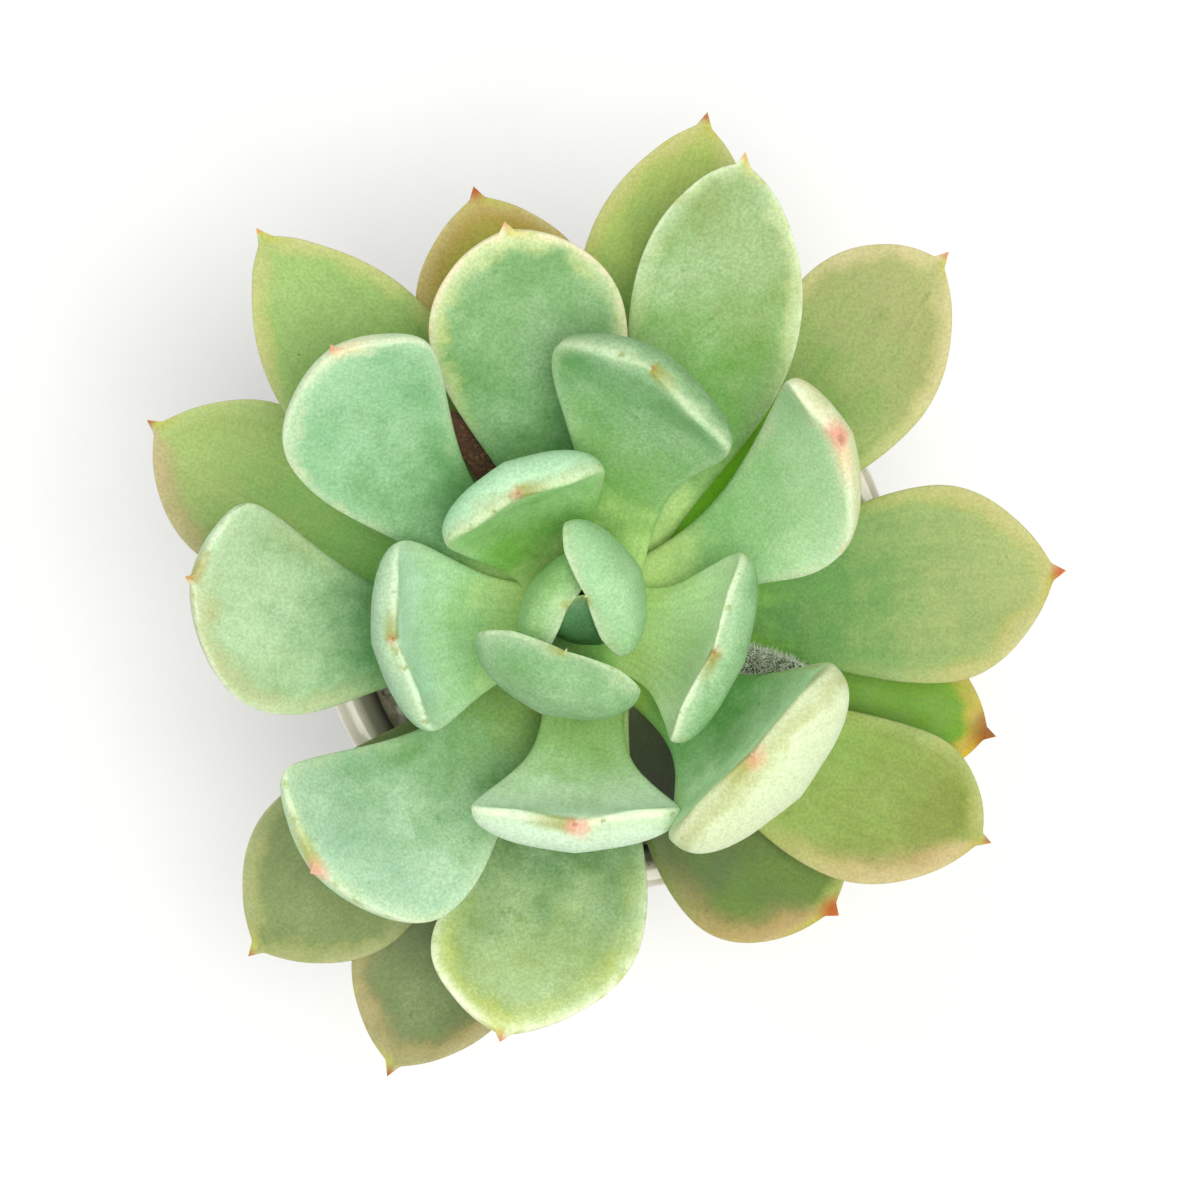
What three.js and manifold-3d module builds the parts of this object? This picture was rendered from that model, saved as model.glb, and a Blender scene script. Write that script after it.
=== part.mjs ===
// A rosette succulent in a plain glazed pot: thick spoon-shaped leaves spiral round a short stem that
// stands in gritty soil under a layer of pale gravel. Millimetres and degrees, +Z up; the origin is the
// middle of the whole part's footprint, on the surface that it stands on.
import * as THREE from "three";
import Module from "manifold-3d";
import { mergeVertices } from "three/addons/utils/BufferGeometryUtils.js";

const wasm = await Module();
wasm.setup();

// ---- Driving dimensions ----
const CLEARANCE = 0.3; // left between pieces that touch
const SLIVER = 0.06; // cuts may move a surface by up to this, to keep its faces few
const AROUND = 12; // corners round a leaf
const ROUND = 40; // corners round the pot

const POT = { height: 70, rim: 43, foot: 31, wall: 4, floor: 5, lift: 2.5, drain: 6 };
const FOOT_RING = { inner: 24, outer: 29.5, chamfer: 1 };
const LIP = { round: 2.2, shallow: 0.8, drop: 5, inset: 0.9 }; // the rolled edge at the top of the pot
const BED_CORNER = 2; // bevel where the pot's wall meets its floor inside
const SOIL_TOP = 59;
const GRAVEL_TOP = 64;
const GRAVEL_EDGE = { wide: 3, low: 0.6, gap: 0.2 }; // how the gravel falls away towards the pot
const STEM = { bottom: 44, shoulder: 88, narrowing: 4, top: 95, crown: 0.6, low: 6.5, high: 4.5 };
const CROWN = { x: -2.4, y: -3.1 }; // where the stem's axis stands, beside the pot's own axis

// What most leaves share: "root" is how far from the stem's axis they start, "neck" the width at the stem
// as a share of the greatest, "belly" where along the leaf it is widest, "flare" how late it widens,
// "blunt" how full the end is, "cup" how far the margins stand up, "curl" how late it turns upward,
// "roll" how far the blade turns about its own length, "sway" how far it bends sideways in plan, "skew"
// how far its width is turned from square, "shift" a step sideways of its foot, "plump" how round its
// margins are (1 is a sharp one), "thinning" how much thinner it is towards the end, "endFull" how late
// the end closes, "point" how wide the foot of the small point is, as a share of the width.
const LEAF_USUAL = {
  root: 4, neck: 0.38, belly: 0.72, flare: 1.5, blunt: 0.72, thick: 6, cup: 1.5, curl: 1.6,
  roll: 0, sway: 0, skew: 0, shift: [0, 0], plump: 0.85, thinning: 0.35, endFull: 3.5, point: 0.42,
};
const FAT = { plump: 0.74, thinning: 0.05, endFull: 3.4, point: 0.12 };
const HEART = { ...FAT, neck: 0.6, thick: 5, cup: 2, root: 3 };
const INNER = { ...FAT, neck: 0.46 };
const SPOON = { flare: 2.2, belly: 0.8, blunt: 0.6, plump: 0.78, thinning: 0.15, endFull: 3.2, point: 0.34 };
const SPREAD = { belly: 0.66, blunt: 0.66, neck: 0.34 };
const OUTER = { blunt: 0.8 };
const LOWER = { thick: 4.5, blunt: 0.8 };

// name, bearing in plan from +X towards +Y, height at the stem, length, width, slope at the stem and at
// the tip, and what is not as usual
const LEAVES = [
  ["heart_leaf_1", -78, 97, 20, 13, 76, 138, { ...HEART, thick: 4, cup: 1, root: 1.5, shift: [0.2, 2.4] }],
  ["heart_leaf_2", 150, 95, 22, 16, 66, 128, { ...HEART, thick: 4.5, cup: 1.5 }],
  ["heart_leaf_3", 30, 95, 26, 19.5, 68, 138, { ...HEART, roll: -10, shift: [-1.8, 2.6] }],
  ["heart_leaf_4", -114, 94, 30.5, 23, 50, 144, { ...HEART, thick: 6, root: 3.5, roll: 6, shift: [-0.5, 2] }],
  ["inner_leaf_1", 119, 93, 33, 23.5, 32, 108, { ...INNER, roll: -5 }],
  ["inner_leaf_2", 185, 92, 36.3, 26, 18, 100, { ...INNER, roll: 6, thick: 5 }],
  ["inner_leaf_3", -13, 92, 31.4, 27, 34, 114, { ...INNER, roll: -10, thick: 5 }],
  ["inner_leaf_4", -94, 92, 36.5, 28, 14, 100,
    { ...FAT, neck: 0.4, flare: 3.2, roll: 4, belly: 0.84, thick: 5.6 }],
  ["inner_leaf_5", 76, 91, 46, 27, 28, 78, { ...FAT, neck: 0.4, flare: 3, roll: -22, belly: 0.8 }],
  ["middle_leaf_1", -39, 89, 49.5, 32, 18, 124,
    { ...FAT, neck: 0.34, flare: 3, belly: 0.74, roll: -5, thick: 9, endFull: 2.3 }],
  ["middle_leaf_2", 151, 88, 56.5, 25, 22, 50, { ...SPOON, flare: 2.6, sway: -42, skew: 14 }],
  ["middle_leaf_3", 23.8, 88, 51, 27, 18, 75, { ...SPOON, flare: 2.6, sway: 32, roll: -14, skew: -38 }],
  ["middle_leaf_4", 238, 86, 53, 30, 10, 50,
    { ...SPOON, flare: 2.4, sway: -34, skew: 18, shift: [-1.2, 0.6] }],
  ["middle_leaf_5", 102, 85, 56.3, 27, 22, 30, { blunt: 0.55, neck: 0.34 }],
  ["middle_leaf_6", 61, 84, 67.5, 24, 20, 22, { ...SPREAD, sway: 23, skew: -10 }],
  ["middle_leaf_7", 192, 84, 58, 29, 10, 45,
    { ...SPOON, flare: 3, neck: 0.34, belly: 0.78, sway: -42, skew: 24 }],
  ["middle_leaf_8", -95, 83, 59, 29, 5, 38, { sway: -18, skew: 14, shift: [1, 0] }],
  ["outer_leaf_1", 135, 81, 69, 25, 10, 12, { ...OUTER, belly: 0.62, sway: -10 }],
  ["outer_leaf_2", 105, 80, 60, 25, 10, 12, OUTER],
  ["outer_leaf_3", 77, 80, 70, 25, 10, 12, { ...OUTER, belly: 0.66 }],
  ["outer_leaf_4", 43, 80, 69, 26, 8, 8, { sway: 6, skew: -10 }],
  ["outer_leaf_5", 6, 80, 64, 28, 6, 8, OUTER],
  ["outer_leaf_6", -41, 79, 62, 25, 5, 12, { sway: 26, skew: -14 }],
  ["outer_leaf_7", -16, 77, 57, 22, 0, 0, OUTER],
  ["outer_leaf_8", -60, 77, 52, 29, 0, 5, { sway: 22 }],
  ["outer_leaf_9", 224.5, 77, 65, 26.5, 0, 5, { ...OUTER, neck: 0.34 }],
  ["outer_leaf_10", -114, 76, 68, 25, 0, 5, OUTER],
  ["outer_leaf_11", 165, 77, 66, 25, 5, 5, { ...OUTER, sway: -20 }],
  ["lower_leaf_1", 131, 84, 46, 19, 10, 14, LOWER],
  ["lower_leaf_2", 47, 83, 40, 18, 8, 10, { ...LOWER, sway: 6 }],
  ["lower_leaf_3", -74, 82, 28, 17, 0, 6, LOWER],
  ["lower_leaf_4", -118, 80, 44, 19, 0, 6, LOWER],
];
const DRY_LEAF = {
  ...LEAF_USUAL, facing: 124, start: 87, length: 34, width: 4, rise: [14, 22], neck: 0.7, thick: 1.8,
  cup: 0.3, blunt: 0.8,
};
// A dry stub of an old flower stem, in the gap beside the lowest of the middle leaves.
const STUB = {
  ...LEAF_USUAL, facing: -14, start: 90, length: 29, width: 3.6, rise: [2, 6], neck: 0.9, belly: 0.6,
  thick: 3.4, cup: 0, blunt: 0.5,
};
// Where cuts across a leaf are taken, where its blade ends and where its point begins, as shares of its
// length.
const STATIONS = [0, 0.12, 0.27, 0.42, 0.54, 0.65, 0.74, 0.82, 0.88, 0.925, 0.955, 0.968, 0.985];
const BLADE_END = 0.972;
const POINT_START = 0.86;
const ROUNDNESS = 2.5; // how softly the blade runs into the point
const UPPER_SHARE = 0.3; // of the thickness above the margins; the rest is below them

const rad = THREE.MathUtils.degToRad;
const smooth = (t) => THREE.MathUtils.smoothstep(t, 0, 1);

const blend = (a, b) => (a ** ROUNDNESS + b ** ROUNDNESS) ** (1 / ROUNDNESS);
const fullness = (value, plump) => Math.sign(value) * Math.abs(value) ** plump;

// Half the width and the thickness of a leaf at a share s of its length.
function section(leaf, s) {
  const past = THREE.MathUtils.clamp((s - leaf.belly) / (BLADE_END - leaf.belly), 0, 1);
  const widening = leaf.neck + (1 - leaf.neck) * smooth(s / leaf.belly) ** leaf.flare;
  const blade = (leaf.width / 2) * widening * (1 - past ** 2.1) ** leaf.blunt;
  const fading = Math.min(1, (1 - s) / (1 - POINT_START)) * smooth((s - POINT_START) / 0.1);
  const point = (leaf.width / 2) * leaf.point * fading;
  const half = blend(blade, point);
  const body = (0.78 + 0.22 * smooth(s / 0.3)) * (1 - leaf.thinning * smooth((s - 0.6) / 0.4));
  const closing = Math.sqrt(1 - past ** leaf.endFull);
  return { half, depth: blend(Math.min(leaf.thick * body * closing, 1.5 * half), point) };
}

// The leaf's middle line, as a list of frames at the given shares of its length.
function spine(leaf, stations) {
  const steps = 80;
  const frames = [];
  const bearing = rad(leaf.facing);
  const at = new THREE.Vector3(Math.cos(bearing), Math.sin(bearing), 0).multiplyScalar(leaf.root);
  at.add(new THREE.Vector3(...leaf.shift, leaf.start));
  let next = 0;
  for (let i = 0; i <= steps; i++) {
    const s = i / steps;
    const rise = rad(leaf.rise[0] + (leaf.rise[1] - leaf.rise[0]) * s ** leaf.curl);
    const heading = rad(leaf.facing + leaf.sway * s);
    const along = new THREE.Vector3(
      Math.cos(rise) * Math.cos(heading), Math.cos(rise) * Math.sin(heading), Math.sin(rise));
    const level = new THREE.Vector3(-Math.sin(heading), Math.cos(heading), 0);
    const up = new THREE.Vector3().crossVectors(along, level);
    const roll = rad(leaf.roll * s);
    const side = level.clone().multiplyScalar(Math.cos(roll)).addScaledVector(up, Math.sin(roll));
    up.crossVectors(along, side);
    const skew = rad(leaf.skew * smooth(s / leaf.belly));
    side.multiplyScalar(Math.cos(skew)).addScaledVector(along, -Math.sin(skew));
    while (next < stations.length && stations[next] <= s + 1e-9) {
      frames.push({ s: stations[next], at: at.clone(), side, up });
      next += 1;
    }
    at.addScaledVector(along, leaf.length / steps);
  }
  return frames;
}

// One leaf as a closed surface: rings round the spine, a flat cut at the stem and a point at the tip.
function leafGeometry(leaf, grow = 0) {
  const positions = [];
  const faces = [];
  const frames = spine(leaf, [...STATIONS, 1]);
  const tip = frames.pop();
  frames.forEach(({ s, at, side, up }, ring) => {
    const cut = section(leaf, s);
    const half = cut.half + grow;
    const depth = cut.depth + grow;
    const cup = leaf.cup * smooth(s / 0.5) * Math.min(1, half / (leaf.width / 3));
    for (let i = 0; i < AROUND; i++) {
      const a = (2 * Math.PI * i) / AROUND;
      const across = fullness(Math.cos(a), leaf.plump);
      const face = fullness(Math.sin(a), leaf.plump);
      const lift = face * (face > 0 ? UPPER_SHARE : 1 - UPPER_SHARE);
      const p = at.clone()
        .addScaledVector(side, half * across)
        .addScaledVector(up, depth * lift + cup * across * across);
      positions.push(p.x, p.y, p.z);
      const j = (i + 1) % AROUND;
      if (ring + 1 < frames.length) {
        const base = ring * AROUND;
        faces.push(base + i, base + AROUND + j, base + AROUND + i, base + i, base + j, base + AROUND + j);
      }
    }
  });
  const last = (frames.length - 1) * AROUND;
  const tipAt = positions.length / 3;
  positions.push(tip.at.x, tip.at.y, tip.at.z);
  const rootAt = tipAt + 1;
  positions.push(frames[0].at.x, frames[0].at.y, frames[0].at.z);
  for (let i = 0; i < AROUND; i++) {
    const j = (i + 1) % AROUND;
    faces.push(last + i, last + j, tipAt);
    faces.push(j, i, rootAt);
  }
  const geometry = new THREE.BufferGeometry();
  geometry.setAttribute("position", new THREE.Float32BufferAttribute(positions, 3));
  geometry.setIndex(faces);
  return geometry.translate(CROWN.x, CROWN.y, 0);
}

// A solid turned about the vertical axis from [radius, height] pairs.
function turned(profile, corners) {
  const points = profile.map(([r, z]) => new THREE.Vector2(r, z));
  const geometry = new THREE.LatheGeometry(points, corners).rotateX(Math.PI / 2);
  geometry.deleteAttribute("uv");
  geometry.deleteAttribute("normal");
  return mergeVertices(geometry, 1e-4);
}

function toSolid(geometry) {
  const merged = mergeVertices(geometry, 1e-5);
  return new wasm.Manifold(new wasm.Mesh({
    numProp: 3,
    vertProperties: new Float32Array(merged.attributes.position.array),
    triVerts: new Uint32Array(merged.index.array),
  }));
}

function toGeometry(solid) {
  const mesh = solid.getMesh();
  const geometry = new THREE.BufferGeometry();
  geometry.setAttribute("position", new THREE.Float32BufferAttribute(mesh.vertProperties, 3));
  geometry.setIndex([...mesh.triVerts]);
  return geometry;
}

// The largest separate body of a solid, without the slivers that cutting leaves along its edges.
function largest(solid) {
  const pick = (bodies) => bodies.reduce((a, b) => (b.volume() > a.volume() ? b : a));
  return pick(pick(solid.decompose()).simplify(SLIVER).decompose());
}

const part = new THREE.Group();
const taken = []; // grown copies of what stands already, which later pieces keep clear of

function addPiece(name, solid, grown, color, roughness) {
  let clear = solid;
  for (const other of taken) clear = clear.subtract(other);
  const kept = largest(clear);
  const mesh = new THREE.Mesh(toGeometry(kept), new THREE.MeshStandardMaterial({ color, roughness }));
  mesh.name = name;
  part.add(mesh);
  if (grown) taken.push(grown);
}

function stemProfile(grow) {
  const { bottom, shoulder, narrowing, top, crown, low, high } = STEM;
  return [
    [0, bottom - grow], [low + grow, bottom - grow], [low + grow, GRAVEL_TOP], [high + grow, shoulder],
    [high * 0.75 + grow, shoulder + narrowing], [high * 0.35 + grow, top], [0, top + crown + grow],
  ];
}
const stemAt = (grow) => toSolid(turned(stemProfile(grow), 20).translate(CROWN.x, CROWN.y, 0));
addPiece("stem", stemAt(0), stemAt(CLEARANCE), 0x8a8f5e, 0.8);

const LEAF_COLORS = { heart: 0xb9dcb4, inner: 0xb4d6b0, middle: 0xa6c9a0, outer: 0x9cb88a, lower: 0x7f9c5c };
for (const [name, facing, start, length, width, low, high, unusual] of LEAVES) {
  const leaf = { ...LEAF_USUAL, facing, start, length, width, rise: [low, high], ...unusual };
  const solid = toSolid(leafGeometry(leaf));
  addPiece(name, solid, toSolid(leafGeometry(leaf, CLEARANCE)), LEAF_COLORS[name.split("_")[0]], 0.55);
}
addPiece("dry_leaf", toSolid(leafGeometry(DRY_LEAF)), null, 0x5a3a26, 0.9);
addPiece("dry_stub", toSolid(leafGeometry(STUB)), null, 0x8c8f80, 1);

const innerRadius = (z) => {
  const outer = POT.foot + (POT.rim - POT.foot) * (z / POT.height);
  return outer - POT.wall;
};
const bedBottom = POT.lift + POT.floor;
addPiece("soil", toSolid(turned([
  [0, bedBottom + CLEARANCE],
  [innerRadius(bedBottom) - BED_CORNER - CLEARANCE, bedBottom + CLEARANCE],
  [innerRadius(SOIL_TOP) - CLEARANCE, SOIL_TOP],
  [0, SOIL_TOP],
], ROUND)), null, 0x4a3a2c, 1);
addPiece("gravel", toSolid(turned([
  [0, SOIL_TOP + CLEARANCE],
  [innerRadius(SOIL_TOP) - CLEARANCE, SOIL_TOP + CLEARANCE],
  [innerRadius(GRAVEL_TOP) - CLEARANCE - GRAVEL_EDGE.gap, GRAVEL_TOP - GRAVEL_EDGE.low],
  [innerRadius(GRAVEL_TOP) - GRAVEL_EDGE.wide, GRAVEL_TOP],
  [0, GRAVEL_TOP],
], ROUND)), null, 0xd8d2c4, 1);

const rimInner = innerRadius(POT.height);
addPiece("pot", toSolid(turned([
  [POT.drain, POT.lift],
  [FOOT_RING.inner - FOOT_RING.chamfer, POT.lift],
  [FOOT_RING.inner, 0],
  [FOOT_RING.outer, 0],
  [POT.foot - 0.4, FOOT_RING.chamfer],
  [POT.foot + 0.3, FOOT_RING.chamfer + 2],
  [POT.rim - LIP.inset, POT.height - LIP.drop],
  [POT.rim, POT.height - LIP.round],
  [POT.rim - 0.3, POT.height - LIP.shallow],
  [POT.rim - 1.4, POT.height],
  [rimInner + 1, POT.height],
  [rimInner + 0.1, POT.height - LIP.shallow],
  [innerRadius(bedBottom), bedBottom + BED_CORNER],
  [innerRadius(bedBottom) - BED_CORNER, bedBottom],
  [POT.drain, bedBottom],
  [POT.drain, POT.lift],
], ROUND)), null, 0xf0ede4, 0.25);

export default part;
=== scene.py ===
# A rosette succulent in a plain white glazed pot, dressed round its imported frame. Metres, +Z up.
import math

import bpy
import numpy as np
from mathutils.kdtree import KDTree
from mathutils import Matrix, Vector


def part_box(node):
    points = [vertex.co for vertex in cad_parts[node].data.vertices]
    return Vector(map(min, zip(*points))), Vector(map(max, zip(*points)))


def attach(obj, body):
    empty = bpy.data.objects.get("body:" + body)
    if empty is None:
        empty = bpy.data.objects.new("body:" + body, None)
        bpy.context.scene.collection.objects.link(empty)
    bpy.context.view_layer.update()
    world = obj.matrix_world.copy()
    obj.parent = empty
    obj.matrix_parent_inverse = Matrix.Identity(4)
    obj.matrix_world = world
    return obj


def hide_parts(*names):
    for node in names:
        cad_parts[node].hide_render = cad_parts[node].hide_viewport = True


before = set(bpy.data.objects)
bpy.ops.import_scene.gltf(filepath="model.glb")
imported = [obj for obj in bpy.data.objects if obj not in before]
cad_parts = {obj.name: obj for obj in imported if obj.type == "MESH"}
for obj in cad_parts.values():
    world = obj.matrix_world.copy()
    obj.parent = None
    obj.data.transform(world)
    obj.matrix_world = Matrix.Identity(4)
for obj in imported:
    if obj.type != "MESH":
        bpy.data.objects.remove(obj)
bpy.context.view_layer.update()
mm = 0.001
print("frame loaded:", len(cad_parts), "nodes")

# The camera looks straight down on the rosette. Lengths in mm.
cameraSetup = {
    "aim": (-1.0, -0.2),
    "leafPlane": 84,  # height at which the framing is measured
    "distance": 450,  # from that plane up to the camera
    "framed": 170.64,  # width that fills the picture at that plane
    "sensor": 36,
}


def addCamera(setup):
    data = bpy.data.cameras.new("camera")
    data.sensor_width = setup["sensor"]
    data.lens = setup["sensor"] * setup["distance"] / setup["framed"]
    data.clip_start = 0.01
    camera = bpy.data.objects.new("camera", data)
    aimX, aimY = setup["aim"]
    camera.location = (aimX * mm, aimY * mm, (setup["leafPlane"] + setup["distance"]) * mm)
    bpy.context.scene.collection.objects.link(camera)
    bpy.context.scene.camera = camera


addCamera(cameraSetup)


# A colour written as #rrggbb, as the linear colour that a node takes.
def tint(code):
    parts = [int(code[i:i + 2], 16) / 255 for i in (1, 3, 5)]
    return tuple(c / 12.92 if c <= 0.04045 else ((c + 0.055) / 1.055) ** 2.4 for c in parts) + (1.0,)


# Adds a node. An input is another node's output, a colour code or a plain value.
def put(tree, kind, inputs=None, **settings):
    made = tree.nodes.new(kind)
    for key, value in settings.items():
        setattr(made, key, value)
    for key, value in (inputs or {}).items():
        if isinstance(value, bpy.types.NodeSocket):
            tree.links.new(value, made.inputs[key])
        else:
            made.inputs[key].default_value = tint(value) if str(value).startswith("#") else value
    return made


def calc(tree, operation, *values):
    return put(tree, "ShaderNodeMath", dict(enumerate(values)), operation=operation).outputs[0]


def times(tree, first, second):
    return calc(tree, "MULTIPLY", first, second)


# start + factor * value
def risen(tree, start, factor, value):
    return calc(tree, "MULTIPLY_ADD", value, factor, start)


def scaled(tree, vector, factor):
    return put(tree, "ShaderNodeVectorMath", {0: vector, "Scale": factor}, operation="SCALE").outputs[0]


# A smooth step from bottom, where value is low, to top, where value is high.
def step(tree, value, low, high, bottom=0.0, top=1.0):
    sockets = {"Value": value, "From Min": low, "From Max": high, "To Min": bottom, "To Max": top}
    return put(tree, "ShaderNodeMapRange", sockets, interpolation_type="SMOOTHSTEP").outputs["Result"]


def mixed(tree, share, first, second, how="MIX"):
    made = put(tree, "ShaderNodeMix", {0: share, 6: first, 7: second}, data_type="RGBA", blend_type=how)
    return made.outputs[2]


def noise(tree, place, scale, detail=2.0, roughness=0.5, distortion=0.0):
    sockets = {"Vector": place, "Scale": scale, "Detail": detail, "Roughness": roughness,
               "Distortion": distortion}
    return put(tree, "ShaderNodeTexNoise", sockets).outputs[0]


def objectPlace(tree):
    return put(tree, "ShaderNodeTexCoord").outputs["Object"]


def attribute(tree, name):
    return put(tree, "ShaderNodeAttribute", attribute_name=name).outputs["Fac"]


def newGroup(name, inputs, outputs):
    tree = bpy.data.node_groups.new(name, "ShaderNodeTree")
    for direction, sockets in (("INPUT", inputs), ("OUTPUT", outputs)):
        for label, usual in sockets.items():
            kind = "NodeSocketColor" if isinstance(usual, str) else "NodeSocketFloat"
            socket = tree.interface.new_socket(label, in_out=direction, socket_type=kind)
            socket.default_value = tint(usual) if isinstance(usual, str) else usual
    return tree, put(tree, "NodeGroupInput").outputs, put(tree, "NodeGroupOutput").inputs


def useGroup(tree, group, inputs=None):
    return put(tree, "ShaderNodeGroup", inputs, node_tree=group).outputs


# How fine each part of the waxy powder on a leaf is: a higher scale is finer.
farinaScales = {"cloud": 85, "mottle": 520, "grain": 2300, "scuff": 230}


# The powder: where it lies thick, its fine grain, and the small scuffs where it is rubbed off.
def buildFarina():
    tree, given, result = newGroup("farina", {"Scale": 1.0}, {"Cover": 0.0, "Grain": 0.0, "Scuff": 0.0})
    place = objectPlace(tree)
    at = {key: times(tree, given["Scale"], scale) for key, scale in farinaScales.items()}
    cloud = noise(tree, place, at["cloud"], 3, 0.55)
    mottle = noise(tree, place, at["mottle"], 4, 0.65)
    grain = noise(tree, place, at["grain"], 3, 0.6)
    scuff = noise(tree, place, at["scuff"], 5, 0.7, 0.5)
    patchy = calc(tree, "ADD", times(tree, cloud, 0.78), times(tree, mottle, 0.22))
    tree.links.new(step(tree, patchy, 0.18, 0.84), result["Cover"])
    tree.links.new(grain, result["Grain"])
    tree.links.new(times(tree, step(tree, scuff, 0.6, 0.68), step(tree, mottle, 0.42, 0.6)),
                   result["Scuff"])
    return tree


# Small round specks, thinly and unevenly strewn: dirt and pinholes on leaves, iron spots in a glaze.
def buildSpecks():
    tree, given, result = newGroup("specks", {"Scale": 150.0, "Size": 0.09, "Share": 0.3}, {"Speck": 0.0})
    cells = put(tree, "ShaderNodeTexVoronoi", {"Vector": objectPlace(tree), "Scale": given["Scale"]})
    luck = put(tree, "ShaderNodeSeparateColor", {"Color": cells.outputs["Color"]}).outputs
    radius = times(tree, given["Size"], calc(tree, "ADD", luck["Green"], 0.4))
    spot = step(tree, calc(tree, "SUBTRACT", cells.outputs["Distance"], radius), 0.03, -0.03)
    tree.links.new(times(tree, spot, calc(tree, "LESS_THAN", luck["Red"], given["Share"])),
                   result["Speck"])
    return tree


# Broad and fine blotches of three colours, with a height that follows them: soil, bark, clay, stone.
def buildBlotches():
    inputs = {"Dark": "#202020", "Middle": "#808080", "Light": "#e0e0e0", "Scale": 200.0, "Contrast": 0.2}
    tree, given, result = newGroup("blotches", inputs, {"Color": "#808080", "Height": 0.0})
    place = objectPlace(tree)
    broad = noise(tree, place, given["Scale"], 5, 0.65)
    fine = noise(tree, place, times(tree, given["Scale"], 7.0), 4, 0.7)
    low = calc(tree, "SUBTRACT", 0.5, given["Contrast"])
    high = calc(tree, "ADD", 0.5, given["Contrast"])
    ground = mixed(tree, step(tree, broad, low, high), given["Dark"], given["Middle"])
    tree.links.new(mixed(tree, step(tree, fine, 0.5, high), ground, given["Light"]), result["Color"])
    height = calc(tree, "ADD", times(tree, broad, 0.65), times(tree, fine, 0.35))
    tree.links.new(height, result["Height"])
    return tree


farina = buildFarina()
specks = buildSpecks()
blotches = buildBlotches()

# What colours a leaf. Widths and sizes in mm; "blushSide" is 1 for the left margin seen from the stem,
# -1 for the right one and 0 for both.
# Margin is the pale rim colour, and it also paints the highlight along the ridge of the margin.
# Powder is the colour of the waxy powder, and it also colours the painted rim highlight just inside the
# margin.
leafLookUsual = {
    "Neck": "#a6c674", "Flesh": "#80ac6e", "End": "#9cc092", "Under": "#9cc08e", "Powder": "#cfe6c6",
    "Band": "#a9ad62", "Margin": "#e6ebcd", "Blush": "#bd9c78", "Tip": "#cf8f78", "Speck": "#5a5a3c",
    "neckReach": 0.45, "powderAmount": 0.5, "bandAmount": 0.5, "bandWidth": 3.5, "marginAmount": 0.7,
    "marginWidth": 0.5, "blushAmount": 0.0, "blushWidth": 3.0, "blushSide": 0.0, "tipSize": 1.1,
    "scuffAmount": 0.5, "speckAmount": 0.5, "streakAmount": 0.12,
}

# How every leaf's skin is drawn.
skinSetup = {
    "wobble": 190, "drift": 60, "patch": 420, "specks": 160.0,  # scales of the noises: higher is finer
    "veinsAlong": 2.4, "veinsAcross": 11.0,
    "depthOfColour": 1.14, "vividness": 1.03, "brightness": 1.06,
    "bareRoughness": 0.44, "powderRoughness": 0.66,
    "relief": 0.12,  # in mm
}


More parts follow.
